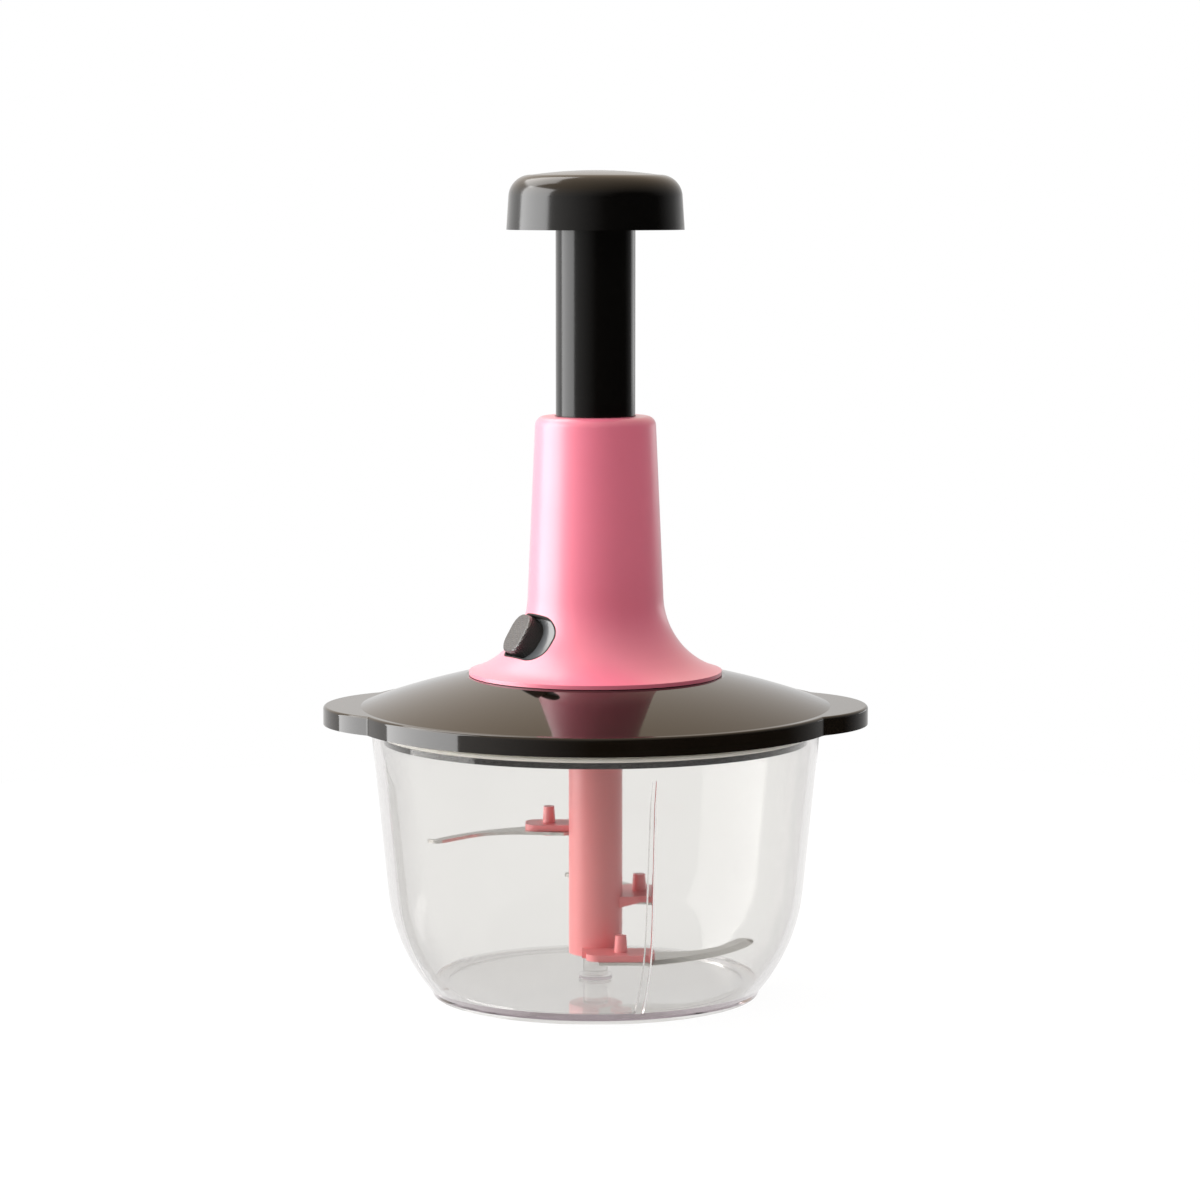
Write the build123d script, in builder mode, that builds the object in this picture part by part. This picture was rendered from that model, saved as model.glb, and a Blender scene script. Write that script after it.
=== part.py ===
from build123d import *
import math
import os

os.makedirs("parts", exist_ok=True)

# Hand-press food chopper, in millimetres. The foot of the bowl stands at z = 0, the press
# travels along Z and the two ears of the lid point along X. Pressing the knob drives a nut
# down a twisted spindle, and the spindle turns the three blades in the bowl.

# Clearances between pieces
running_gap = 0.3          # between pieces that pass each other
bearing_gap = 0.08         # radial, at a shaft in its bearing
seat_gap = 0.05            # radial, at a piece pushed into its seat
twist_gap = 0.2            # per side, between the spindle and the nut

# Bowl
bowl_height = 89.2         # table to rim
bowl_wall = 2.2
bowl_corner_height = 33.0  # where the straight side ends and the round corner begins
bowl_corner_side = 65.9    # outside radius there
bowl_corner_radius = 57.0
bowl_draft = 5.7           # lean of the side, degrees
bowl_foot_radius = 51.8
bowl_foot_width = 4.5
bowl_foot_height = 1.2     # foot ring below the underside of the floor
bowl_foot_edge = 1.8       # height where the foot runs into the corner
bowl_floor = 2.8
bowl_rim_width = 2.3       # rim beyond the side
bowl_rim_height = 2.7
rib_bearings = (200.0, 285.0)  # from +X, degrees
rib_depth = 2.0
rib_foot_width = 2.6
rib_top_width = 1.5
rib_drop = 11.2            # rib below the top of the bowl
rib_round = 0.5
rib_ramp = 9.0             # height over which the top of a rib runs out into the wall
pivot_foot_radius = 5.4
pivot_foot_height = 1.2
pivot_boss_radius = 4.0
pivot_shoulder = 12.0      # height of the shoulder that carries the blade shaft
pivot_pin_radius = 3.0
pivot_pin_length = 14.0
pivot_pin_chamfer = 0.6

# Lid
lid_wall = 2.2
lid_rest_gap = 0.5         # between the rim of the bowl and the lid over it
skirt_drop = 5.8
skirt_wall = 1.9
skirt_gap = 0.9            # between the rim of the bowl and the skirt
ear_radius = 36.5
ear_reach = 9.6            # ear beyond the round rim
ear_blend = 2.5            # round where an ear meets the rim
dome_rise = 9.6            # flat centre above the rim of the lid
dome_flat_margin = 1.0     # flat centre beyond the neck's flange
dome_foot_inset = 2.4      # dome inside the rim, at its foot
dome_middle_inset = 16.6
dome_middle_rise = 4.7
plug_gap = 1.3             # between the plug and the bowl, closed by the seal
plug_wall = 2.0
plug_drop = 7.8            # plug below the top of the bowl
plug_root = 1.2            # plug sunk into the dome, above the rim of the lid
plug_lip = 1.9             # plug below its groove
seal_height = 3.0
seal_depth = 1.3           # groove in the plug
seal_lip_width = 0.6

# Neck housing
neck_height = 56.1         # neck above its flare
neck_spread = 2.5          # foot of the neck beyond its top
neck_bore_gap = 0.1        # radial, between the lugs and the narrow end of the neck
flare_radius = 25.2
flare_lift = 0.5           # lowest place of the flare's arc above the top of the lid
flange_inset = 6.6         # edge of the flange short of that place
neck_wall = 2.2
neck_round = 3.0
neck_roof = 2.4
neck_seat_gap = 0.15       # shadow line between the flange and the lid

# Press
tube_radius = 12.5
tube_wall = 2.1
tube_web = 2.5
travel = 55.0
collar_height = 3.0
collar_width = 2.4         # collar beyond the tube
lug_reach = 1.7            # lugs beyond the collar
lug_width = 5.0
collar_to_end = 10.0       # tube below its collar
knob_clearance = 3.2       # knob above the neck when the press is down
knob_height = 18.5
knob_radius = 27.9
knob_taper = 1.1           # top of the knob inside its foot
knob_round = 7.0
knob_crown = 1.4
knob_socket = 6.0
bush_height = 5.0

# Spindle and nut
spindle_lead = 40.0        # height of one full turn, left-handed
spindle_across = 7.2
spindle_corner = 0.7       # chamfer
spindle_end = 7.0          # spindle above the nut when the press is up
nut_height = 10.0
nut_recess = 1.0
nut_pin_radius = 1.25
nut_pin_depth = 3.6
journal_radius = 4.5
shoulder_ring_radius = 7.5
shoulder_ring_height = 2.0
drive_across = 6.0
drive_length = 10.0
thrust_washer_height = 0.8
thrust_washer_width = 4.0
spindle_bush_wall = 2.0
spindle_bush_flange = 2.5  # flange beyond the bush
spindle_bush_flange_height = 1.2
spindle_bush_drop = 2.0    # bush below the floor of the lid
clip_height = 0.8
clip_radius = 7.0
clip_groove = 0.8
clip_opening = 5.0

# Drive coupling under the lid
hub_radius = 10.0
hub_height = 12.0
hub_gap = 0.6
coupling_across = 11.0
coupling_reach = 9.5
coupling_screw_seat = 5.0

# Lock
ring_height = 4.0
ring_gap = 0.4             # radial, between the collar and the ring
ring_neck_gap = 0.8        # radial, between the ring and the neck
tower_gap = 1.3            # radial, between the collar and the tower
tower_wall = 1.6
lug_slot_depth = 4.0
lug_gap = 0.3
guide_width = 1.5          # ribs that guide the lugs
shield_gap = 0.3
shield_wall = 1.5
shield_drop = 7.1          # shield below the middle of the slot
shield_before = 43.5       # degrees from the shield's first end to the middle of the slot
shield_span = 72.0         # degrees
slot_bearing = 210.5       # middle of the slot, degrees from +X
slot_drop = 12.6           # middle of the slot below the top of the flare
slot_length = 22.0
slot_height = 14.4
slot_corner = 5.4
slot_cut = 6.6             # depth of the slot's cut, through the curved wall
button_length = 13.4
button_gap = 0.5
button_rise = 2.5
button_turn = 8.5          # open button before the middle of the slot, degrees
button_round = 1.0

# Return spring
wire_radius = 0.6
spring_gap = 0.6           # radial, between the tube and the coil
spring_turns = 7
wire_sides = 8             # the wire is drawn with flats, to keep its surface light
spring_washer_height = 1.0
spring_washer_width = 4.2

# Blade shaft, arms and blades
shaft_radius = 8.5
shaft_lift = 0.3           # shaft above the shoulder of the pivot
shaft_core_radius = 5.0
shaft_solid_length = 4.0   # solid web above the pivot bore
socket_depth = 11.5
arm_rises = {"lower": 2.7, "middle": 18.7, "upper": 39.7}  # tops above the shaft's foot
arm_turns = {"lower": 0.0, "middle": 90.0, "upper": 180.0}
arm_reaches = {"lower": 8.0, "middle": 8.0, "upper": 11.6}
stud_reaches = {"lower": 8.0, "middle": 8.0, "upper": 15.0}
arm_length = 22.0
arm_width = 12.0
arm_stand_off = 13.6       # middle line of an arm from the axis
arm_thickness = 2.0
arm_corner = 4.0
gusset_width = 2.4         # wedge under an arm, beside the root of its blade
gusset_offset = 2.8        # middle line of the wedge from the axis, away from the blade
gusset_drops = {"lower": 0.7, "middle": 1.8, "upper": 1.8}
blade_thickness = 1.0
blade_gap = 1.4            # between the tip of the lowest blade and the ribs
blade_tip_bearing = 15.5   # degrees from the arm
blade_edge_radius = 62.0
blade_shoulder = 17.1      # where the curved edge starts, along the arm
blade_heel = 1.0           # inner end of the blade, along its arm
blade_heel_back = 10.2     # back of the inner end, from the middle of the shaft
blade_root_fronts = {"lower": 7.0, "middle": 4.2, "upper": 7.0}  # root beyond its arm's middle
blade_neck = 11.0          # where the back clears the shaft, along the arm
blade_back = 3.8           # straight part of the back, from the middle of the shaft
blade_bend = 34.4          # where the back turns towards the tip, along the arm
blade_bend_radius = 20.0
blade_back_bearing = 19.6  # inner corner of the tip, degrees from the arm
blade_back_inset = 4.2
blade_tip_radius = 3.2
blade_sets = {"lower": 0.0, "middle": -8.0, "upper": -9.0}  # turn of a blade from its arm
blade_bevel = 2.6          # width of the ground edge
blade_edge = 0.25          # steel left at the cutting edge
stud_radius = 2.05
stud_tip_radius = 1.7
stud_height = 5.3
stud_head_radius = 3.2
stud_head_height = 0.8

# Cover and screws
cover_radius = 31.0
cover_wall = 2.0
cover_depth = 13.6
screw_radius = 1.5
screw_head_radius = 2.8
screw_head_height = 2.0
screw_hole_gap = 0.2
screw_count = 3
screw_boss_radius = 3.2
screw_bite = 0.6           # boss beyond the tip of its screw
housing_screw_circle = 25.0
housing_screw_bearing = 35.0
cover_screw_circle = 21.0
cover_screw_bearing = 95.0
cover_screw_length = 9.0
knob_screw_length = 11.0
coupling_screw_length = 14.0
recess_across = 1.8
recess_depth = 1.0

draft = math.radians(bowl_draft)


def side_radius(depth, height):
    """Radius of the bowl's straight side, some depth inside its outside."""
    rise = height - bowl_corner_height
    return bowl_corner_side + rise * math.tan(draft) - depth / math.cos(draft)


# Places that follow from the sizes above, from the table up and then inwards
floor_top = bowl_foot_height + bowl_floor
corner_centre = (
    bowl_corner_side - bowl_corner_radius * math.cos(draft),
    bowl_corner_height + bowl_corner_radius * math.sin(draft),
)
bowl_rim_radius = side_radius(0, bowl_height) + bowl_rim_width
rib_top = bowl_height - rib_drop
lid_rim_radius = bowl_rim_radius + skirt_gap + skirt_wall
lid_rim_top = bowl_height + lid_rest_gap + lid_wall
lid_top = lid_rim_top + dome_rise
lid_floor = lid_top - lid_wall
ear_offset = lid_rim_radius + ear_reach - ear_radius
skirt_bottom = lid_rim_top - skirt_drop
plug_bottom = bowl_height - plug_drop
plug_radius = side_radius(bowl_wall, plug_bottom) - plug_gap
dome_foot_radius = lid_rim_radius - dome_foot_inset
dome_middle_radius = lid_rim_radius - dome_middle_inset
dome_middle_height = lid_rim_top + dome_middle_rise
collar_radius = tube_radius + collar_width
lug_radius = collar_radius + lug_reach
neck_top_radius = lug_radius + neck_bore_gap + neck_wall
neck_foot_radius = neck_top_radius + neck_spread
neck_foot_height = lid_top + flare_lift + flare_radius
neck_top = neck_foot_height + neck_height
neck_centre = (neck_foot_radius + flare_radius, neck_foot_height)
neck_lean = neck_spread / neck_height
neck_bottom = lid_top + neck_seat_gap
flange_radius = neck_centre[0] - flange_inset
lid_flat_radius = flange_radius + dome_flat_margin
bush_top = neck_top - neck_roof
bush_bottom = bush_top - bush_height
collar_top = bush_bottom - running_gap
collar_bottom = collar_top - collar_height
tube_bottom = collar_bottom - collar_to_end
tube_bore = tube_radius - tube_wall
knob_bottom = neck_top + travel + knob_clearance
knob_top = knob_bottom + knob_height
knob_top_radius = knob_radius - knob_taper
tube_top = knob_bottom + knob_socket
nut_bottom = tube_bottom + nut_recess
nut_middle = nut_bottom + nut_height / 2
spindle_bush_radius = journal_radius + spindle_bush_wall
bush_flange_top = lid_top + spindle_bush_flange_height
shoulder_ring_bottom = bush_flange_top + thrust_washer_height
twist_bottom = shoulder_ring_bottom + shoulder_ring_height
twist_top = nut_bottom + nut_height + spindle_end
spindle_bush_bottom = lid_floor - spindle_bush_drop
clip_top = spindle_bush_bottom - running_gap
clip_bottom = clip_top - clip_height
drive_bottom = clip_bottom - drive_length
hub_top = clip_bottom - running_gap
hub_bottom = hub_top - hub_height
coupling_bottom = hub_bottom - coupling_reach
screw_seat = coupling_bottom + coupling_screw_seat
cover_bottom = lid_floor - cover_depth
shaft_bottom = pivot_shoulder + shaft_lift
shaft_top = hub_bottom - running_gap
pivot_top = pivot_shoulder + pivot_pin_length
socket_bottom = shaft_top - socket_depth
tower_inner_radius = collar_radius + tower_gap
tower_radius = tower_inner_radius + tower_wall
ring_inner_radius = collar_radius + ring_gap
ring_outer_radius = neck_foot_radius - neck_wall - ring_neck_gap
ring_bottom = collar_top - travel + running_gap
ring_top = ring_bottom + ring_height
tower_top = ring_bottom - running_gap
guide_bottom = ring_top + running_gap
slot_centre_height = neck_foot_height - slot_drop
slot_rise = math.asin(slot_drop / flare_radius)
slot_centre_radius = neck_centre[0] - flare_radius * math.cos(slot_rise)
shield_foot = slot_centre_height - shield_drop
button_height = slot_height - 2 * button_gap
spring_radius = tube_radius + spring_gap + wire_radius
spring_bottom = lid_top + spring_washer_height + wire_radius
spring_length = collar_bottom - wire_radius - spring_bottom
lowest_blade = shaft_bottom + arm_rises["lower"] - arm_thickness - blade_thickness


def bowl_corner(depth, height):
    """Arc of the bowl's round corner, from a height up to the straight side."""
    reach = bowl_corner_radius - depth
    start = -math.degrees(math.asin((corner_centre[1] - height) / reach))
    return CenterArc(corner_centre, reach, start, -bowl_draft - start)


def corner_radius(depth, height):
    """Radius of the bowl's round corner at a height, some depth inside its outside."""
    reach = bowl_corner_radius - depth
    return corner_centre[0] + math.sqrt(reach**2 - (corner_centre[1] - height) ** 2)


def on_front(edge):
    """Whether an edge of the rib on +X runs down its front, inside the wall of the bowl."""
    middle = edge.position_at(0.5)
    depth = bowl_wall + rib_depth / 4
    if middle.Z > bowl_corner_height:
        wall = side_radius(depth, middle.Z)
    else:
        wall = corner_radius(depth, middle.Z)
    return middle.X < wall and abs(middle.Y) > rib_top_width / 4 and middle.Z > floor_top


def inner_rib():
    """Upright rib inside the bowl, on the side of +X, wider towards its foot."""
    with BuildPart() as rib:
        with BuildSketch(Plane.XZ):
            with BuildLine():
                back = bowl_corner(bowl_wall / 2, floor_top - bowl_floor / 2)
                front = bowl_corner(bowl_wall + rib_depth, floor_top - bowl_floor / 2)
                Polyline(
                    back @ 1,
                    (side_radius(bowl_wall / 2, rib_top), rib_top),
                    (side_radius(bowl_wall, rib_top), rib_top),
                    (side_radius(bowl_wall + rib_depth, rib_top - rib_ramp), rib_top - rib_ramp),
                    front @ 1,
                )
                Line(front @ 0, back @ 0)
            make_face()
        extrude(amount=rib_foot_width, both=True)
        with BuildSketch(Plane.YZ):
            Polygon(
                (-rib_foot_width / 2, 0),
                (rib_foot_width / 2, 0),
                (rib_top_width / 2, rib_top),
                (-rib_top_width / 2, rib_top),
                align=None,
            )
        extrude(amount=bowl_rim_radius, mode=Mode.INTERSECT)
        fillet(rib.edges().filter_by(on_front), radius=rib_round)
    return rib.part


def neck_radius(depth, height):
    """Radius of the neck above the flare, some depth inside its outside."""
    return neck_foot_radius - (height - neck_foot_height) * neck_lean - depth


def flare_height(depth, radius):
    """Height of the flare at a radius, some depth inside its outside."""
    reach = flare_radius + depth
    return neck_foot_height - math.sqrt(reach**2 - (neck_centre[0] - radius) ** 2)


def flare_arc(depth, height):
    """Arc of the flare from the neck down to a height, some depth inside its outside."""
    reach = flare_radius + depth
    turn = math.degrees(math.asin((neck_foot_height - height) / reach))
    return CenterArc(neck_centre, reach, 180, turn)


def upright(bearing, place=(0, 0)):
    """Upright plane from a place, with its own x pointing along a bearing."""
    turn = math.radians(bearing)
    along = (math.cos(turn), math.sin(turn), 0)
    return Plane(origin=(*place, 0), x_dir=along, z_dir=(along[1], -along[0], 0))


def on_circle(radius, bearing):
    """Place on a circle about the Z axis."""
    turn = math.radians(bearing)
    return (radius * math.cos(turn), radius * math.sin(turn))


def twisted_bar(across, bottom, height):
    """Left-hand twisted square bar, in step with the spindle wherever it starts."""
    start = -360 * (bottom - twist_bottom) / spindle_lead
    with BuildSketch(Plane.XY.offset(bottom)) as section:
        Rectangle(across, across, rotation=start)
        chamfer(section.vertices(), length=spindle_corner)
    return Solid.extrude_linear_with_rotation(
        section.sketch.face(), (0, 0, bottom), (0, 0, height), -360 * height / spindle_lead
    )


def pan_screws(places, seat, length):
    """Upright pan-head screws, their heads under a seat, each with a cross recess."""
    with BuildPart() as screws:
        with BuildSketch(Plane.XY.offset(seat)):
            with Locations(*places):
                Circle(screw_head_radius)
        extrude(amount=-screw_head_height)
        with BuildSketch(Plane.XY.offset(seat)):
            with Locations(*places):
                Circle(screw_radius)
        extrude(amount=length)
        with BuildSketch(Plane.XY.offset(seat - screw_head_height)):
            with Locations(*places):
                Rectangle(recess_across * 2, recess_across / 2)
                Rectangle(recess_across / 2, recess_across * 2)
        extrude(amount=recess_depth, mode=Mode.SUBTRACT)
    return screws.part


def screw_places(circle, first):
    """Places of the screws on a circle about the Z axis."""
    return [on_circle(circle, first + 360 * n / screw_count) for n in range(screw_count)]


# Bowl: clear moulded bowl with a foot ring, a hidden rim, inside ribs and a pivot pin
with BuildPart() as bowl:
    with BuildSketch(Plane.XZ):
        with BuildLine():
            outside = bowl_corner(0, bowl_foot_edge)
            inside = bowl_corner(bowl_wall, floor_top)
            rim_bottom = bowl_height - bowl_rim_height
            Polyline(
                (0, floor_top),
                (0, bowl_foot_height),
                (bowl_foot_radius - bowl_foot_width, bowl_foot_height),
                (bowl_foot_radius - bowl_foot_width, 0),
                (bowl_foot_radius, 0),
                outside @ 0,
            )
            Polyline(
                outside @ 1,
                (side_radius(0, rim_bottom), rim_bottom),
                (bowl_rim_radius, rim_bottom),
                (bowl_rim_radius, bowl_height),
                (side_radius(bowl_wall, bowl_height), bowl_height),
                inside @ 1,
            )
            Line(inside @ 0, (0, floor_top))
        make_face()
    revolve(axis=Axis.Z)
    for bearing in rib_bearings:
        add(inner_rib().rotate(Axis.Z, bearing))
    with BuildSketch(Plane.XY.offset(floor_top)):
        Circle(pivot_foot_radius)
    extrude(amount=pivot_foot_height)
    with BuildSketch(Plane.XY.offset(floor_top)):
        Circle(pivot_boss_radius)
    extrude(amount=pivot_shoulder - floor_top)
    with BuildSketch(Plane.XY.offset(pivot_shoulder)):
        Circle(pivot_pin_radius)
    extrude(amount=pivot_pin_length)
    pin_edges = bowl.edges().filter_by(GeomType.CIRCLE).filter_by_position(Axis.Z, pivot_top, pivot_top)
    chamfer(pin_edges, length=pivot_pin_chamfer)

bowl.part.label = "bowl"
export_step(bowl.part, "parts/bowl.step")


def lid_outline(depth):
    """Round rim with two ears, some depth inside the outside; called inside a BuildSketch."""
    Circle(lid_rim_radius - depth)
    with Locations((ear_offset, 0), (-ear_offset, 0)):
        Circle(ear_radius - depth)


# Lid: black moulding with a skirt over the bowl, a plug inside it and a tower for the neck
with BuildPart() as lid:
    with BuildSketch(Plane.XY.offset(skirt_bottom)):
        lid_outline(0)
    extrude(amount=skirt_drop)
    fillet(lid.edges().filter_by(Axis.Z), radius=ear_blend)
    fillet(lid.faces().sort_by(Axis.Z)[-1].edges(), radius=skirt_wall / 2)
    with BuildSketch(Plane.XY.offset(skirt_bottom)):
        lid_outline(skirt_wall)
    extrude(amount=skirt_drop - lid_wall, mode=Mode.SUBTRACT)
    with BuildSketch(Plane.XY.offset(skirt_bottom)):
        Circle(dome_foot_radius)
    extrude(amount=skirt_drop, mode=Mode.SUBTRACT)
    with BuildSketch(Plane.XZ):
        with BuildLine():
            crown = ThreePointArc(
                (lid_flat_radius, lid_top),
                (dome_middle_radius, dome_middle_height),
                (dome_foot_radius, lid_rim_top),
            )
            under = ThreePointArc(
                (lid_flat_radius, lid_floor),
                (dome_middle_radius, dome_middle_height - lid_wall),
                (dome_foot_radius, lid_rim_top - lid_wall),
            )
            Polyline(under @ 0, (0, lid_floor), (0, lid_top), crown @ 0)
            Line(crown @ 1, under @ 1)
        make_face()
    revolve(axis=Axis.Z)
    with BuildSketch(Plane.XY.offset(plug_bottom)):
        Circle(plug_radius)
        Circle(plug_radius - plug_wall, mode=Mode.SUBTRACT)
    extrude(amount=lid_rim_top + plug_root - plug_bottom)
    with BuildSketch(Plane.XY.offset(plug_bottom + plug_lip)):
        Circle(plug_radius)
        Circle(plug_radius - seal_depth, mode=Mode.SUBTRACT)
    extrude(amount=seal_height, mode=Mode.SUBTRACT)
    with BuildSketch(Plane.XY.offset(lid_top)):
        Circle(tower_radius)
        Circle(tower_inner_radius, mode=Mode.SUBTRACT)
    extrude(amount=tower_top - lid_top)
    with BuildSketch(Plane.XY.offset(tower_top)):
        Rectangle(lug_width + 2 * lug_gap, 2 * (tower_radius + tower_wall))
        Circle(collar_radius, mode=Mode.SUBTRACT)
    extrude(amount=-lug_slot_depth, mode=Mode.SUBTRACT)
    with BuildSketch(Plane.XY.offset(cover_bottom + cover_wall)):
        with PolarLocations(cover_screw_circle, screw_count, start_angle=cover_screw_bearing):
            Circle(screw_boss_radius)
    extrude(amount=lid_floor - cover_bottom - cover_wall)
    with BuildSketch(Plane.XY.offset(cover_bottom + cover_wall)):
        with PolarLocations(cover_screw_circle, screw_count, start_angle=cover_screw_bearing):
            Circle(screw_radius + seat_gap)
    extrude(amount=cover_screw_length + screw_bite - cover_wall, mode=Mode.SUBTRACT)
    with BuildSketch(Plane.XY.offset(lid_floor)):
        Circle(spindle_bush_radius + seat_gap)
        with PolarLocations(housing_screw_circle, screw_count, start_angle=housing_screw_bearing):
            Circle(screw_radius + screw_hole_gap)
    extrude(amount=lid_wall, mode=Mode.SUBTRACT)

lid.part.label = "lid"
export_step(lid.part, "parts/lid.step")

# Lid seal: silicone ring in the groove of the plug, with two lips towards the bowl
seal_bottom = plug_bottom + plug_lip
seal_inner = plug_radius - seal_depth
seal_outer = side_radius(bowl_wall, seal_bottom) - running_gap
with BuildPart() as lid_seal:
    with BuildSketch(Plane.XZ):
        with BuildLine():
            Polyline(
                (seal_inner + seat_gap, seal_bottom + seat_gap),
                (plug_radius + seal_lip_width / 2, seal_bottom + seat_gap),
                (seal_outer, seal_bottom + seal_lip_width),
                (seal_outer, seal_bottom + 2 * seal_lip_width),
                (plug_radius + seal_lip_width / 2, seal_bottom + seal_height / 2),
                (seal_outer, seal_bottom + seal_height - 2 * seal_lip_width),
                (seal_outer, seal_bottom + seal_height - seal_lip_width),
                (plug_radius + seal_lip_width / 2, seal_bottom + seal_height - seat_gap),
                (seal_inner + seat_gap, seal_bottom + seal_height - seat_gap),
                close=True,
            )
        make_face()
    revolve(axis=Axis.Z)

lid_seal.part.label = "lid_seal"
export_step(lid_seal.part, "parts/lid_seal.step")

# Neck housing: pink moulding, flared to a flange on the lid, with guide ribs for the press
boss_top = flare_height(0, housing_screw_circle + screw_boss_radius) - running_gap
with BuildPart() as neck_housing:
    with BuildSketch(Plane.XZ):
        with BuildLine():
            skin = flare_arc(0, flare_height(0, flange_radius))
            Polyline(skin @ 0, (neck_radius(0, neck_top), neck_top), (0, neck_top))
            Polyline((0, neck_top), (0, neck_bottom), (flange_radius, neck_bottom), skin @ 1)
        make_face()
    revolve(axis=Axis.Z)
    fillet(neck_housing.faces().sort_by(Axis.Z)[-1].edges(), radius=neck_round)
    with BuildSketch(Plane.XZ):
        with BuildLine():
            lining = flare_arc(neck_wall, neck_bottom + neck_wall)
            Polyline(lining @ 0, (neck_radius(neck_wall, bush_top), bush_top), (0, bush_top))
            Polyline((0, bush_top), (0, neck_bottom), ((lining @ 1).X, neck_bottom), lining @ 1)
        make_face()
    revolve(axis=Axis.Z, mode=Mode.SUBTRACT)
    with BuildSketch(Plane.XY.offset(bush_top)):
        Circle(tube_radius + running_gap)
    extrude(amount=neck_roof, mode=Mode.SUBTRACT)
    for side in (90, 270):
        for edge in (-1, 1):
            rib_place = edge * (lug_width / 2 + lug_gap + guide_width / 2)
            with BuildSketch(upright(side).offset(rib_place)):
                Polygon(
                    (collar_radius + lug_gap, guide_bottom),
                    (neck_radius(neck_wall / 2, neck_foot_height), guide_bottom),
                    (neck_radius(neck_wall / 2, bush_bottom), bush_bottom),
                    (collar_radius + lug_gap, bush_bottom),
                    align=None,
                )
            extrude(amount=guide_width / 2, both=True)
    with BuildSketch(Plane.XY.offset(neck_bottom)):
        with PolarLocations(housing_screw_circle, screw_count, start_angle=housing_screw_bearing):
            Circle(screw_boss_radius)
    extrude(amount=boss_top - neck_bottom)
    with BuildSketch(Plane.XY.offset(neck_bottom)):
        with PolarLocations(housing_screw_circle, screw_count, start_angle=housing_screw_bearing):
            Circle(screw_radius + seat_gap)
    extrude(amount=boss_top - neck_bottom - screw_bite, mode=Mode.SUBTRACT)
    slot_place = on_circle(slot_centre_radius, slot_bearing)
    slot_along = on_circle(1, slot_bearing + 90)
    slot_out = on_circle(math.cos(slot_rise), slot_bearing)
    slot_plane = Plane(
        origin=(*slot_place, slot_centre_height),
        x_dir=(*slot_along, 0),
        z_dir=(*slot_out, math.sin(slot_rise)),
    )
    with BuildSketch(slot_plane.offset(button_rise)):
        RectangleRounded(slot_length, slot_height, slot_corner)
    extrude(amount=-(button_rise + slot_cut), mode=Mode.SUBTRACT)

neck_housing.part.label = "neck_housing"
export_step(neck_housing.part, "parts/neck_housing.step")

# Guide bush: plastic ring under the roof of the neck that guides the tube and stops the collar
with BuildPart() as guide_bush:
    with BuildSketch(Plane.XY.offset(bush_bottom)):
        Circle(neck_radius(neck_wall, bush_top) - seat_gap)
        Circle(tube_radius + bearing_gap, mode=Mode.SUBTRACT)
    extrude(amount=bush_height)

guide_bush.part.label = "guide_bush"
export_step(guide_bush.part, "parts/guide_bush.step")

# Plunger tube: black tube with a collar and two lugs that keep it from turning
with BuildPart() as plunger_tube:
    with BuildSketch(Plane.XY.offset(tube_bottom)):
        Circle(tube_radius)
        Circle(tube_bore, mode=Mode.SUBTRACT)
    extrude(amount=tube_top - tube_bottom)
    with BuildSketch(Plane.XY.offset(tube_top - tube_web)):
        Circle(tube_radius)
        Circle(screw_radius + screw_hole_gap, mode=Mode.SUBTRACT)
    extrude(amount=tube_web)
    with BuildSketch(Plane.XY.offset(collar_bottom)):
        Circle(collar_radius)
        Rectangle(lug_width, 2 * lug_radius)
        Circle(tube_bore, mode=Mode.SUBTRACT)
    extrude(amount=collar_height)
    with BuildSketch(Plane.YZ.offset(-tube_radius)):
        with Locations((0, nut_middle)):
            Circle(nut_pin_radius + seat_gap)
    extrude(amount=2 * tube_radius, mode=Mode.SUBTRACT)

plunger_tube.part.label = "plunger_tube"
export_step(plunger_tube.part, "parts/plunger_tube.step")

# Knob: palm knob with a shallow crown, pushed over the tube and screwed from inside it
with BuildPart() as knob:
    with BuildSketch(Plane.XZ):
        with BuildLine():
            Polyline(
                (0, knob_top - knob_crown),
                (0, knob_bottom),
                (knob_radius, knob_bottom),
                (knob_top_radius, knob_top - knob_crown),
                close=True,
            )
        make_face()
    revolve(axis=Axis.Z)
    fillet(knob.edges().filter_by(GeomType.CIRCLE).group_by(Axis.Z)[-1], radius=knob_round)
    crown_reach = knob_top_radius - knob_round
    with BuildSketch(Plane.XZ):
        with BuildLine():
            ThreePointArc(
                (-crown_reach, knob_top - knob_crown),
                (0, knob_top),
                (crown_reach, knob_top - knob_crown),
            )
            Line((-crown_reach, knob_top - knob_crown), (crown_reach, knob_top - knob_crown))
        make_face()
        split(bisect_by=Plane.YZ)
    revolve(axis=Axis.Z)
    with BuildSketch(Plane.XY.offset(knob_bottom)):
        Circle(tube_radius + seat_gap)
    extrude(amount=knob_socket + seat_gap, mode=Mode.SUBTRACT)
    with BuildSketch(Plane.XY.offset(tube_top)):
        Circle(screw_radius + seat_gap)
    extrude(amount=knob_screw_length - tube_web + screw_bite, mode=Mode.SUBTRACT)

knob.part.label = "knob"
export_step(knob.part, "parts/knob.step")

# Knob screw: up through the web of the tube into the knob
with BuildPart() as knob_screw:
    add(pan_screws([(0, 0)], tube_top - tube_web, knob_screw_length))

knob_screw.part.label = "knob_screw"
export_step(knob_screw.part, "parts/knob_screw.step")

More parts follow.
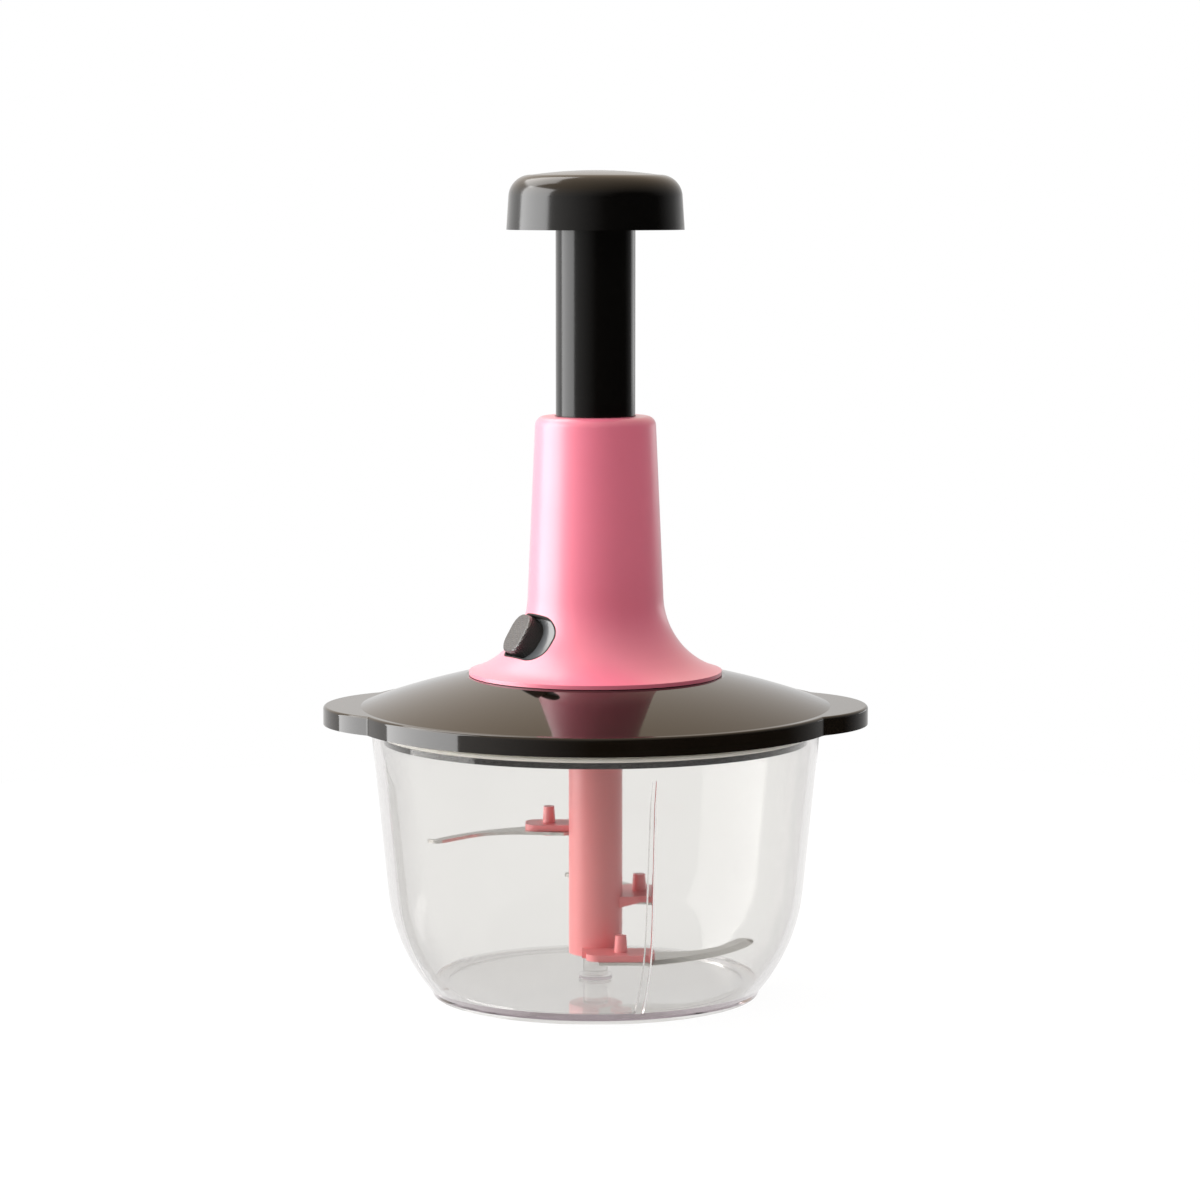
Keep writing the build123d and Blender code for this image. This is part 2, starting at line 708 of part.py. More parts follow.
# Spindle: steel bar twisted left-handed, with a journal, a thrust shoulder and a drive end
with BuildPart() as spindle:
    add(twisted_bar(spindle_across, twist_bottom, twist_top - twist_bottom))
    with BuildSketch(Plane.XY.offset(shoulder_ring_bottom)):
        Circle(shoulder_ring_radius)
    extrude(amount=shoulder_ring_height)
    with BuildSketch(Plane.XY.offset(clip_bottom)):
        Circle(journal_radius)
    extrude(amount=shoulder_ring_bottom - clip_bottom)
    with BuildSketch(Plane.XY.offset(clip_bottom)):
        Circle(journal_radius)
        Circle(journal_radius - clip_groove, mode=Mode.SUBTRACT)
    extrude(amount=clip_height, mode=Mode.SUBTRACT)
    with BuildSketch(Plane.XY.offset(drive_bottom)):
        Rectangle(drive_across, drive_across)
    extrude(amount=drive_length)
    with BuildSketch(Plane.XY.offset(drive_bottom)):
        Circle(screw_radius + seat_gap)
    extrude(amount=drive_length - screw_bite, mode=Mode.SUBTRACT)

spindle.part.label = "spindle"
export_step(spindle.part, "parts/spindle.step")

# Drive nut: plastic nut with the twisted bore that rides down the spindle
with BuildPart() as drive_nut:
    with BuildSketch(Plane.XY.offset(nut_bottom)):
        Circle(tube_bore - seat_gap)
    extrude(amount=nut_height)
    add(
        twisted_bar(spindle_across + 2 * twist_gap, nut_bottom - nut_recess, nut_height + 2 * nut_recess),
        mode=Mode.SUBTRACT,
    )
    for sense in (-1, 1):
        with BuildSketch(Plane.YZ.offset(sense * (tube_bore + seat_gap))):
            with Locations((0, nut_middle)):
                Circle(nut_pin_radius + seat_gap)
        extrude(amount=-sense * nut_pin_depth, mode=Mode.SUBTRACT)

drive_nut.part.label = "drive_nut"
export_step(drive_nut.part, "parts/drive_nut.step")

# Nut pins: two cross pins that hold the nut in the tube
with BuildPart() as nut_pins:
    for sense in (-1, 1):
        with BuildSketch(Plane.YZ.offset(sense * (tube_radius - seat_gap))):
            with Locations((0, nut_middle)):
                Circle(nut_pin_radius)
        extrude(amount=-sense * (tube_wall + nut_pin_depth - 3 * seat_gap))

nut_pins.part.label = "nut_pins"
export_step(nut_pins.part, "parts/nut_pins.step")

# Spindle bush: flanged plastic bearing in the floor of the lid
with BuildPart() as spindle_bush:
    with BuildSketch(Plane.XY.offset(spindle_bush_bottom)):
        Circle(spindle_bush_radius)
    extrude(amount=lid_top - spindle_bush_bottom)
    with BuildSketch(Plane.XY.offset(lid_top)):
        Circle(spindle_bush_radius + spindle_bush_flange)
    extrude(amount=spindle_bush_flange_height)
    with BuildSketch(Plane.XY.offset(spindle_bush_bottom)):
        Circle(journal_radius + bearing_gap)
    extrude(amount=bush_flange_top - spindle_bush_bottom, mode=Mode.SUBTRACT)

spindle_bush.part.label = "spindle_bush"
export_step(spindle_bush.part, "parts/spindle_bush.step")

# Thrust washer: steel washer that takes the push of the press on the bush
with BuildPart() as thrust_washer:
    with BuildSketch(Plane.XY.offset(bush_flange_top)):
        Circle(journal_radius + thrust_washer_width)
        Circle(journal_radius + seat_gap, mode=Mode.SUBTRACT)
    extrude(amount=thrust_washer_height)

thrust_washer.part.label = "thrust_washer"
export_step(thrust_washer.part, "parts/thrust_washer.step")

# Retaining clip: spring-steel clip in the groove of the journal
with BuildPart() as retaining_clip:
    with BuildSketch(Plane.XY.offset(clip_bottom + seat_gap)):
        Circle(clip_radius)
        Circle(journal_radius - clip_groove + seat_gap, mode=Mode.SUBTRACT)
        with Locations((clip_radius, 0)):
            Rectangle(2 * clip_radius, clip_opening, mode=Mode.SUBTRACT)
    extrude(amount=clip_height - 2 * seat_gap)

retaining_clip.part.label = "retaining_clip"
export_step(retaining_clip.part, "parts/retaining_clip.step")

# Drive coupling: hub on the spindle's square end, with a hexagon that enters the blade shaft
with BuildPart() as drive_coupling:
    with BuildSketch(Plane.XY.offset(hub_bottom)):
        Circle(hub_radius)
    extrude(amount=hub_top - hub_bottom)
    with BuildSketch(Plane.XY.offset(coupling_bottom)):
        RegularPolygon(coupling_across / 2, 6, major_radius=False)
    extrude(amount=coupling_reach)
    with BuildSketch(Plane.XY.offset(drive_bottom)):
        Rectangle(drive_across + 2 * seat_gap, drive_across + 2 * seat_gap)
    extrude(amount=hub_top - drive_bottom, mode=Mode.SUBTRACT)
    with BuildSketch(Plane.XY.offset(screw_seat)):
        Circle(screw_radius + screw_hole_gap)
    extrude(amount=drive_bottom - screw_seat, mode=Mode.SUBTRACT)
    with BuildSketch(Plane.XY.offset(coupling_bottom)):
        Circle(screw_head_radius + screw_hole_gap)
    extrude(amount=coupling_screw_seat, mode=Mode.SUBTRACT)

drive_coupling.part.label = "drive_coupling"
export_step(drive_coupling.part, "parts/drive_coupling.step")

# Coupling screw: up through the coupling into the spindle
with BuildPart() as coupling_screw:
    add(pan_screws([(0, 0)], screw_seat, coupling_screw_length))

coupling_screw.part.label = "coupling_screw"
export_step(coupling_screw.part, "parts/coupling_screw.step")

# Spring washer: steel seat for the return spring inside the tower
with BuildPart() as spring_washer:
    with BuildSketch(Plane.XY.offset(lid_top)):
        Circle(tower_inner_radius - running_gap)
        Circle(tower_inner_radius - running_gap - spring_washer_width, mode=Mode.SUBTRACT)
    extrude(amount=spring_washer_height)

spring_washer.part.label = "spring_washer"
export_step(spring_washer.part, "parts/spring_washer.step")

# Return spring: steel wire coil round the tube, from its washer to the collar
with BuildPart() as return_spring:
    with BuildLine():
        coil = Helix(
            spring_length / spring_turns, spring_length, spring_radius, center=(0, 0, spring_bottom)
        )
    with BuildSketch(Plane(origin=coil @ 0, z_dir=coil % 0)):
        RegularPolygon(wire_radius, wire_sides)
    sweep(is_frenet=True)

return_spring.part.label = "return_spring"
export_step(return_spring.part, "parts/return_spring.step")

# Lock ring: turns on the tower and closes over the lugs of the pressed tube; its shield
# fills the slot of the neck from inside
with BuildPart() as lock_ring:
    with BuildSketch(Plane.XZ):
        with BuildLine():
            face = flare_arc(neck_wall + shield_gap, shield_foot)
            rear = flare_arc(neck_wall + shield_gap + shield_wall, shield_foot)
            Polyline(face @ 0, rear @ 0)
            Polyline(face @ 1, rear @ 1)
        make_face()
    revolve(axis=Axis.Z)
    with BuildSketch(Plane.XY.offset(ring_top)):
        Circle(neck_foot_radius)
    extrude(amount=neck_foot_height - ring_top, mode=Mode.SUBTRACT)
    with BuildSketch(Plane.XY.offset(shield_foot - shield_wall)):
        with BuildLine():
            sector = CenterArc((0, 0), flange_radius, slot_bearing - shield_before, shield_span)
            Polyline(sector @ 0, (0, 0), sector @ 1)
        make_face()
    extrude(amount=neck_foot_height - shield_foot, mode=Mode.INTERSECT)
    with BuildSketch(Plane.XY.offset(ring_bottom)):
        Circle(ring_outer_radius)
        Circle(ring_inner_radius, mode=Mode.SUBTRACT)
        with BuildSketch(mode=Mode.PRIVATE) as lug_notch:
            Rectangle(lug_width + 2 * lug_gap, 2 * (lug_radius + lug_gap))
        add(lug_notch.sketch, mode=Mode.SUBTRACT)
    extrude(amount=ring_height)

lock_ring.part.label = "lock_ring"
export_step(lock_ring.part, "parts/lock_ring.step")

# Lock slider: ribbed button in the slot, carried by the shield behind it
button_bearing = slot_bearing - button_turn
button_place = on_circle(slot_centre_radius, button_bearing)
button_along = on_circle(1, button_bearing + 90)
button_out = on_circle(math.cos(slot_rise), button_bearing)
button_plane = Plane(
    origin=(*button_place, slot_centre_height),
    x_dir=(*button_along, 0),
    z_dir=(*button_out, math.sin(slot_rise)),
)
with BuildPart() as lock_slider:
    with BuildSketch(button_plane.offset(button_rise)):
        RectangleRounded(button_length, button_height, slot_corner - button_gap)
    extrude(amount=-(button_rise + neck_wall + shield_gap + shield_wall))
    outward = Axis((0, 0, 0), button_plane.z_dir)
    fillet(lock_slider.faces().sort_by(outward)[-1].edges(), radius=button_round)
    with BuildSketch(Plane.XZ):
        with BuildLine():
            face = flare_arc(neck_wall + shield_gap, shield_foot - 2 * shield_wall)
            Polyline(face @ 0, (0, neck_foot_height), (0, shield_foot - 2 * shield_wall), face @ 1)
        make_face()
    revolve(axis=Axis.Z, mode=Mode.SUBTRACT)

lock_slider.part.label = "lock_slider"
export_step(lock_slider.part, "parts/lock_slider.step")

# Mechanism cover: shallow cup under the lid that closes in the spindle's bearing
with BuildPart() as mechanism_cover:
    with BuildSketch(Plane.XY.offset(cover_bottom)):
        Circle(cover_radius)
    extrude(amount=lid_floor - seat_gap - cover_bottom)
    fillet(mechanism_cover.faces().sort_by(Axis.Z)[0].edges(), radius=cover_wall)
    with BuildSketch(Plane.XY.offset(cover_bottom + cover_wall)):
        Circle(cover_radius - cover_wall)
    extrude(amount=lid_floor - cover_bottom, mode=Mode.SUBTRACT)
    with BuildSketch(Plane.XY.offset(cover_bottom)):
        Circle(hub_radius + hub_gap)
        with PolarLocations(cover_screw_circle, screw_count, start_angle=cover_screw_bearing):
            Circle(screw_radius + screw_hole_gap)
    extrude(amount=cover_wall, mode=Mode.SUBTRACT)

mechanism_cover.part.label = "mechanism_cover"
export_step(mechanism_cover.part, "parts/mechanism_cover.step")

# Screws: three hold the neck to the lid from below, three hold the cover under it
with BuildPart() as housing_screws:
    places = screw_places(housing_screw_circle, housing_screw_bearing)
    add(pan_screws(places, lid_floor, boss_top - 2 * screw_bite - lid_floor))

housing_screws.part.label = "housing_screws"
export_step(housing_screws.part, "parts/housing_screws.step")

with BuildPart() as cover_screws:
    places = screw_places(cover_screw_circle, cover_screw_bearing)
    add(pan_screws(places, cover_bottom, cover_screw_length))

cover_screws.part.label = "cover_screws"
export_step(cover_screws.part, "parts/cover_screws.step")

# Blade shaft: pink moulding with three arms, a bore for the pivot and a hexagon socket
with BuildPart() as blade_shaft:
    with BuildSketch(Plane.XY.offset(shaft_bottom)):
        Circle(shaft_radius)
    extrude(amount=shaft_top - shaft_bottom)
    for level, rise in arm_rises.items():
        arm_plane = Plane.XY.offset(shaft_bottom + rise).rotated((0, 0, arm_turns[level]))
        with BuildSketch(arm_plane):
            with Locations((arm_reaches[level], -arm_stand_off)):
                RectangleRounded(arm_length, arm_width, arm_corner)
            with Locations((0, -arm_stand_off / 2)):
                Rectangle(shaft_radius, arm_stand_off)
        extrude(amount=-arm_thickness)
        arm_bottom = shaft_bottom + rise - arm_thickness
        gusset_root = (shaft_core_radius + shaft_radius) / 2
        with BuildSketch(upright(arm_turns[level] - 90).offset(gusset_offset)):
            Polygon(
                (gusset_root, arm_bottom),
                (arm_stand_off, arm_bottom),
                (gusset_root, arm_bottom - gusset_drops[level]),
                align=None,
            )
        extrude(amount=gusset_width / 2, both=True)
        with BuildSketch(arm_plane):
            with Locations((stud_reaches[level], -arm_stand_off)):
                Circle(stud_radius + seat_gap)
        extrude(amount=-arm_thickness, mode=Mode.SUBTRACT)
    with BuildSketch(Plane.XY.offset(shaft_bottom)):
        Circle(pivot_pin_radius + bearing_gap)
    extrude(amount=pivot_top + running_gap - shaft_bottom, mode=Mode.SUBTRACT)
    core_bottom = pivot_top + shaft_solid_length
    with BuildSketch(Plane.XY.offset(core_bottom)):
        Circle(shaft_core_radius)
    extrude(amount=shaft_top - core_bottom, mode=Mode.SUBTRACT)
    with BuildSketch(Plane.XY.offset(socket_bottom)):
        RegularPolygon(coupling_across / 2 + twist_gap, 6, major_radius=False)
    extrude(amount=socket_depth, mode=Mode.SUBTRACT)

blade_shaft.part.label = "blade_shaft"
export_step(blade_shaft.part, "parts/blade_shaft.step")

# Blades: thin curved steel, ground along the outer edge, one under each arm
blade_reach = corner_radius(bowl_wall + rib_depth, lowest_blade) - blade_gap


def curved_blade(root_front):
    """Blade for an arm along +X, its root some way beyond the middle line of the arm."""
    front = -(arm_stand_off + root_front)
    with BuildPart() as blade:
        with BuildSketch():
            with BuildLine():
                edge = RadiusArc(
                    (blade_shoulder, front),
                    on_circle(blade_reach, blade_tip_bearing),
                    -blade_edge_radius,
                )
                root = Polyline(
                    edge @ 0,
                    (blade_heel, front),
                    (blade_heel, -blade_heel_back),
                    (blade_neck, -blade_back),
                )
                back = FilletPolyline(
                    root @ 1,
                    (blade_bend, -blade_back),
                    on_circle(blade_reach - blade_back_inset, blade_back_bearing),
                    radius=blade_bend_radius,
                )
                RadiusArc(back @ 1, edge @ 1, blade_tip_radius)
            make_face()
        extrude(amount=-blade_thickness)
        middle = edge.arc_center
        start = edge @ 0 - middle
        with BuildSketch(upright(math.degrees(math.atan2(start.Y, start.X)), (middle.X, middle.Y))):
            drop = 2 * (blade_thickness - blade_edge)
            Polygon(
                (blade_edge_radius - blade_bevel, 0),
                (blade_edge_radius + blade_bevel, 0),
                (blade_edge_radius + blade_bevel, -drop),
                align=None,
            )
        ground = Axis((middle.X, middle.Y, 0), (0, 0, 1))
        span = math.degrees(edge.length / blade_edge_radius)
        revolve(axis=ground, revolution_arc=span, mode=Mode.SUBTRACT)
    return blade.part


for level, rise in arm_rises.items():
    stud_plane = Plane.XY.offset(shaft_bottom + rise - arm_thickness).rotated((0, 0, arm_turns[level]))
    with BuildPart() as blade:
        with Locations(stud_plane.rotated((0, 0, blade_sets[level])).location):
            add(curved_blade(blade_root_fronts[level]))
        with BuildSketch(stud_plane):
            with Locations((stud_reaches[level], -arm_stand_off)):
                Circle(stud_radius + seat_gap)
        extrude(amount=-blade_thickness, mode=Mode.SUBTRACT)
    blade.part.label = f"blade_{level}"
    export_step(blade.part, f"parts/blade_{level}.step")

# Blade studs: pink rivets through blade and arm, headed below the blade
for level, rise in arm_rises.items():
    top = shaft_bottom + rise
    stud_bottom = top - arm_thickness - blade_thickness
    stud_plane = Plane.XY.rotated((0, 0, arm_turns[level]))
    with BuildPart() as stud:
        with BuildSketch(stud_plane.offset(stud_bottom)):
            with Locations((stud_reaches[level], -arm_stand_off)):
                Circle(stud_head_radius)
        extrude(amount=-stud_head_height)
        with BuildSketch(stud_plane.offset(stud_bottom)):
            with Locations((stud_reaches[level], -arm_stand_off)):
                Circle(stud_radius)
        extrude(amount=top - stud_bottom)
        with BuildSketch(stud_plane.offset(top)):
            with Locations((stud_reaches[level], -arm_stand_off)):
                Circle(stud_radius)
        with BuildSketch(stud_plane.offset(top + stud_height)):
            with Locations((stud_reaches[level], -arm_stand_off)):
                Circle(stud_tip_radius)
        loft()
    stud.part.label = f"stud_{level}"
    export_step(stud.part, f"parts/stud_{level}.step")
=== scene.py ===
import math

import bmesh
import bpy
from mathutils import Matrix, Vector


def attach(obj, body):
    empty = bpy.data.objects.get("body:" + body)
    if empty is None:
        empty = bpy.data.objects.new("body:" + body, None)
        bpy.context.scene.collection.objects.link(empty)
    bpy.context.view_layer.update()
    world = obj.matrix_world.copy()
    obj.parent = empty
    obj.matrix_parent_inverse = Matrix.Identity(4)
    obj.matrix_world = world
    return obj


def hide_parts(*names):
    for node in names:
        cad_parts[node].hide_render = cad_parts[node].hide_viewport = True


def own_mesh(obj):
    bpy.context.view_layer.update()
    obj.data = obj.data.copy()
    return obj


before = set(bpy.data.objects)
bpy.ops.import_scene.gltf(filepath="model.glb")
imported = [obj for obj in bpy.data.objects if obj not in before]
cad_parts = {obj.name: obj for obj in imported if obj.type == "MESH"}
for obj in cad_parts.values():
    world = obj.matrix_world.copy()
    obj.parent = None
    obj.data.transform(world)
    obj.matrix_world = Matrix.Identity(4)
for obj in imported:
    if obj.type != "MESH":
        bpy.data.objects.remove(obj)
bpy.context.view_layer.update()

# Hand-press food chopper, in metres. The sections follow the order in which it is put together:
# bowl, blade shaft, blades, lid, spindle drive, return spring, bearings, neck, lock, press and
# knob, and then the studio with its floor, lamps, surroundings and camera.


# Bowl: one injection moulding in clear plastic, glossy inside and out, with a foot ring, two
# thin ribs inside and a pivot pin in the middle of its floor. It stands on its foot.

def feed(node, inputs):
    """Fills inputs of a node: a socket is linked, and anything else is a value that it keeps."""
    for key, value in inputs.items():
        if isinstance(value, bpy.types.NodeSocket):
            node.id_data.links.new(value, node.inputs[key])
        else:
            node.inputs[key].default_value = value


def add(tree, kind, inputs=None, **settings):
    """Adds a node to a tree, with its settings made and its inputs filled."""
    node = tree.nodes.new(kind)
    for key, value in settings.items():
        setattr(node, key, value)
    feed(node, inputs or {})
    return node


def new_finish(name):
    """An empty material and its shader, ready to be wired."""
    material = bpy.data.materials.new(name)
    material.use_nodes = True
    return material, shader_of(material)


def shader_of(material):
    """The one shader of a material."""
    return material.node_tree.nodes["Principled BSDF"]


def dress(finish, *names):
    """Gives CAD nodes one finish all over."""
    for name in names:
        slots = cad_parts[name].data.materials
        slots.clear()
        slots.append(finish)


def moulded_skin():
    """Skin of a moulding: soft flow waves, a fine grain and the faint haze of handling."""
    group = bpy.data.node_groups.new("moulded skin", "ShaderNodeTree")
    for name in ("Grain Size", "Wave Size", "Gloss", "Haze"):
        group.interface.new_socket(name, in_out="INPUT", socket_type="NodeSocketFloat")
    for name in ("Roughness", "Height", "Tone"):
        group.interface.new_socket(name, in_out="OUTPUT", socket_type="NodeSocketFloat")
    given = add(group, "NodeGroupInput").outputs
    place = add(group, "ShaderNodeTexCoord").outputs["Object"]
    grain = add(group, "ShaderNodeTexNoise", {
        "Vector": place, "Scale": given["Grain Size"], "Detail": 3.0,
    })
    wave = add(group, "ShaderNodeTexNoise", {
        "Vector": place, "Scale": given["Wave Size"], "Detail": 1.5,
    })
    haze = add(group, "ShaderNodeTexNoise", {"Vector": place, "Scale": 38.0, "Detail": 6.0})
    grain_share = 0.18
    height = add(group, "ShaderNodeMath", {
        0: grain.outputs["Fac"], 1: grain_share, 2: wave.outputs["Fac"],
    }, operation="MULTIPLY_ADD")
    tone = add(group, "ShaderNodeMapRange", {
        "Value": haze.outputs["Fac"], "From Min": 0.35, "From Max": 0.75,
    })
    roughness = add(group, "ShaderNodeMath", {
        0: tone.outputs["Result"], 1: given["Haze"], 2: given["Gloss"],
    }, operation="MULTIPLY_ADD")
    add(group, "NodeGroupOutput", {
        "Roughness": roughness.outputs[0], "Height": height.outputs[0],
        "Tone": tone.outputs["Result"],
    })
    return group


skin = moulded_skin()


def skinned(shader, colour, shade, gloss, haze, relief, depth=0.0001, grain=1400.0, wave=60.0):
    """Wires the skin to a shader: two close tones of one colour, its gloss and its relief."""
    tree = shader.id_data
    surface = add(tree, "ShaderNodeGroup", {
        "Grain Size": grain, "Wave Size": wave, "Gloss": gloss, "Haze": haze,
    }, node_tree=skin).outputs
    tones = add(tree, "ShaderNodeMix", {
        "Factor": surface["Tone"], "A": (*colour, 1.0), "B": (*shade, 1.0),
    }, data_type="RGBA")
    bump = add(tree, "ShaderNodeBump", {
        "Height": surface["Height"], "Strength": relief, "Distance": depth,
    })
    feed(shader, {
        "Base Color": tones.outputs["Result"], "Roughness": surface["Roughness"],
        "Normal": bump.outputs["Normal"],
    })
    return tones, bump


def moulded(name, colour, shade, gloss, haze, relief, specular=0.5, grain=1400.0):
    """Opaque moulded plastic."""
    material, shader = new_finish(name)
    skinned(shader, colour, shade, gloss, haze, relief, grain=grain)
    feed(shader, {"Specular IOR Level": specular})
    return material


def clear_moulding():
    """Clear plastic with a faint warm grey in its depth and painted shade along its outline; light
    passes to what is inside.
    """
    material, shader = new_finish("clear bowl plastic")
    tree = material.node_tree
    feed(shader, {
        "Transmission Weight": 1.0, "IOR": 1.42, "Specular Tint": (0.25, 0.25, 0.25, 1.0),
    })
    tones, _ = skinned(
        shader, (0.895, 0.893, 0.878), (0.882, 0.880, 0.866), gloss=0.02, haze=0.04, relief=0.05,
        grain=900.0, wave=45.0,
    )

    # Painted shade: the colour is mixed toward grey where the plastic is seen at a slant, so the
    # outline of the bowl is darker.
    slant = add(tree, "ShaderNodeLayerWeight", {"Blend": 0.5})
    slant_shade = add(tree, "ShaderNodeMapRange", {
        "Value": slant.outputs["Facing"], "From Min": 0.45, "From Max": 0.92,
    })
    edge_shaded = add(tree, "ShaderNodeMix", {
        "Factor": slant_shade.outputs["Result"], "A": tones.outputs["Result"],
        "B": (0.56, 0.55, 0.55, 1.0),
    }, data_type="RGBA")
    feed(shader, {"Base Color": edge_shaded.outputs["Result"]})

    # Shadow and diffuse rays go straight through, and so does a ray that the walls have caught.
    rays = add(tree, "ShaderNodeLightPath").outputs
    straight = add(tree, "ShaderNodeMath", {
        0: rays["Is Shadow Ray"], 1: rays["Is Diffuse Ray"],
    }, operation="MAXIMUM")
    for depth, most in (("Ray Depth", 7.5), ("Glossy Depth", 2.5)):
        caught = add(tree, "ShaderNodeMath", {0: rays[depth], 1: most}, operation="GREATER_THAN")
        straight = add(tree, "ShaderNodeMath", {
            0: straight.outputs[0], 1: caught.outputs[0],
        }, operation="MAXIMUM")
    clear = add(tree, "ShaderNodeBsdfTransparent", {"Color": (0.94, 0.94, 0.93, 1.0)})
    surface = add(tree, "ShaderNodeMixShader", {
        "Fac": straight.outputs[0], 1: shader.outputs["BSDF"], 2: clear.outputs["BSDF"],
    })
    body = add(tree, "ShaderNodeVolumeAbsorption", {
        "Color": (0.80, 0.768, 0.785, 1.0), "Density": 50.0,
    })
    feed(tree.nodes["Material Output"], {
        "Surface": surface.outputs["Shader"], "Volume": body.outputs["Volume"],
    })
    return material


dress(clear_moulding(), "bowl")


# Blade shaft: one pink moulding that turns on the pin of the bowl, with three flat arms. The
# studs are the same plastic, pressed through blade and arm and headed under the blade.

def soften(material, weight):
    """Lets a little of the light into a pink moulding, the red of it furthest."""
    feed(shader_of(material), {
        "Subsurface Weight": weight, "Subsurface Radius": (0.003, 0.0012, 0.001),
    })


inner_pink = moulded(
    "pink shaft plastic", (0.98, 0.310, 0.325), (0.95, 0.295, 0.310), gloss=0.32, haze=0.10,
    relief=0.10, specular=0.8,
)
soften(inner_pink, 0.06)
dress(inner_pink, "blade_shaft", "stud_lower", "stud_middle", "stud_upper")


# Blades: hard stainless strip, blanked and ground. The faces keep the fine lines of the grinding
# along the blade; each blade lies under its arm and the stud holds it.

def ground_steel():
    """Stainless steel with fine grinding lines that run along the blade."""
    material, shader = new_finish("ground blade steel")
    tree = material.node_tree
    along, across, down = 60.0, 2600.0, 900.0
    stretch = add(tree, "ShaderNodeMapping", {
        "Vector": add(tree, "ShaderNodeTexCoord").outputs["Object"],
        "Scale": (along, across, down),
    })
    lines = add(tree, "ShaderNodeTexNoise", {
        "Vector": stretch.outputs["Vector"], "Scale": 1.0, "Detail": 4.0,
    }).outputs["Fac"]
    tones = add(tree, "ShaderNodeValToRGB", {"Fac": lines})
    dark, light = tones.color_ramp.elements
    dark.position, dark.color = 0.3, (0.40, 0.385, 0.36, 1.0)
    light.position, light.color = 0.72, (0.64, 0.62, 0.59, 1.0)
    dull = add(tree, "ShaderNodeMapRange", {"Value": lines, "To Min": 0.22, "To Max": 0.42})
    bump = add(tree, "ShaderNodeBump", {"Height": lines, "Strength": 0.25, "Distance": 0.00005})
    feed(shader, {
        "Metallic": 1.0, "Base Color": tones.outputs["Color"],
        "Roughness": dull.outputs["Result"], "Normal": bump.outputs["Normal"],
    })
    return material


dress(ground_steel(), "blade_lower", "blade_middle", "blade_upper")

# Lid: black moulding, polished to a deep gloss above, pushed over the rim of the bowl. Its seal
# is a ring of pale silicone in the groove of the plug.
dress(moulded(
    "glossy lid plastic", (0.0065, 0.0044, 0.0026), (0.0090, 0.0064, 0.0040), gloss=0.045,
    haze=0.04, relief=0.05, specular=0.6,
), "lid")
dress(moulded(
    "seal silicone", (0.95, 0.93, 0.88), (0.90, 0.88, 0.83), gloss=0.50, haze=0.15, relief=0.20,
    grain=2200.0,
), "lid_seal")


# Spindle drive: a bright square bar, twisted, that the nut in the foot of the tube turns as it
# runs down. Its clip and screws, and those of the whole chopper, are zinc plated.

def plated_steel(name, light, dark, gloss):
    """Plated or drawn steel with a faint cloudy tone."""
    material, shader = new_finish(name)
    skinned(
        shader, light, dark, gloss, haze=0.15, relief=0.12, depth=0.00005, grain=2600.0,
        wave=300.0,
    )
    feed(shader, {"Metallic": 1.0})
    return material


dress(
    plated_steel("drawn spindle steel", (0.62, 0.62, 0.61), (0.52, 0.52, 0.52), gloss=0.16),
    "spindle",
)
dress(
    plated_steel("zinc plated steel", (0.67, 0.67, 0.64), (0.56, 0.56, 0.55), gloss=0.24),
    "thrust_washer", "retaining_clip", "coupling_screw", "spring_washer", "nut_pins",
    "housing_screws", "cover_screws", "knob_screw", "return_spring",
)

# Return spring: one coil of steel wire from its washer to the collar of the tube. It stands on the
# lid; in use it shortens by the stroke of the press, 55 mm. Here a copy of the coil is set on the
# lid as it is in the CAD node.
coil = bpy.data.objects.new("pressed_spring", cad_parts["return_spring"].data)
bpy.context.scene.collection.objects.link(coil)
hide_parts("return_spring")
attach(coil, "lid")
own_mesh(coil)

# Bearings: the bushes of tube and spindle, the nut and the hexagon that enters the blade shaft
# are plain bearing plastic. A matt black cup covers the mechanism below the lid.
dress(moulded(
    "natural bearing plastic", (0.74, 0.72, 0.66), (0.68, 0.66, 0.60), gloss=0.42, haze=0.12,
    relief=0.15,
), "spindle_bush", "drive_coupling", "drive_nut", "guide_bush")
dress(moulded(
    "matt cover plastic", (0.022, 0.020, 0.019), (0.032, 0.030, 0.028), gloss=0.38, haze=0.14,
    relief=0.35, grain=2400.0,
), "mechanism_cover")

# Neck housing: satin pink moulding that flares into a round flange on the lid, held by three
# screws from below. Around its slot for the lock a narrow line of shade is painted into the pink.
neck_pink = moulded(
    "satin neck plastic", (0.94, 0.190, 0.295), (0.91, 0.178, 0.280), gloss=0.46, haze=0.07,
    relief=0.05, specular=1.0,
)
soften(neck_pink, 0.05)
feed(shader_of(neck_pink), {"Coat Roughness": 0.30})
dress(neck_pink, "neck_housing")


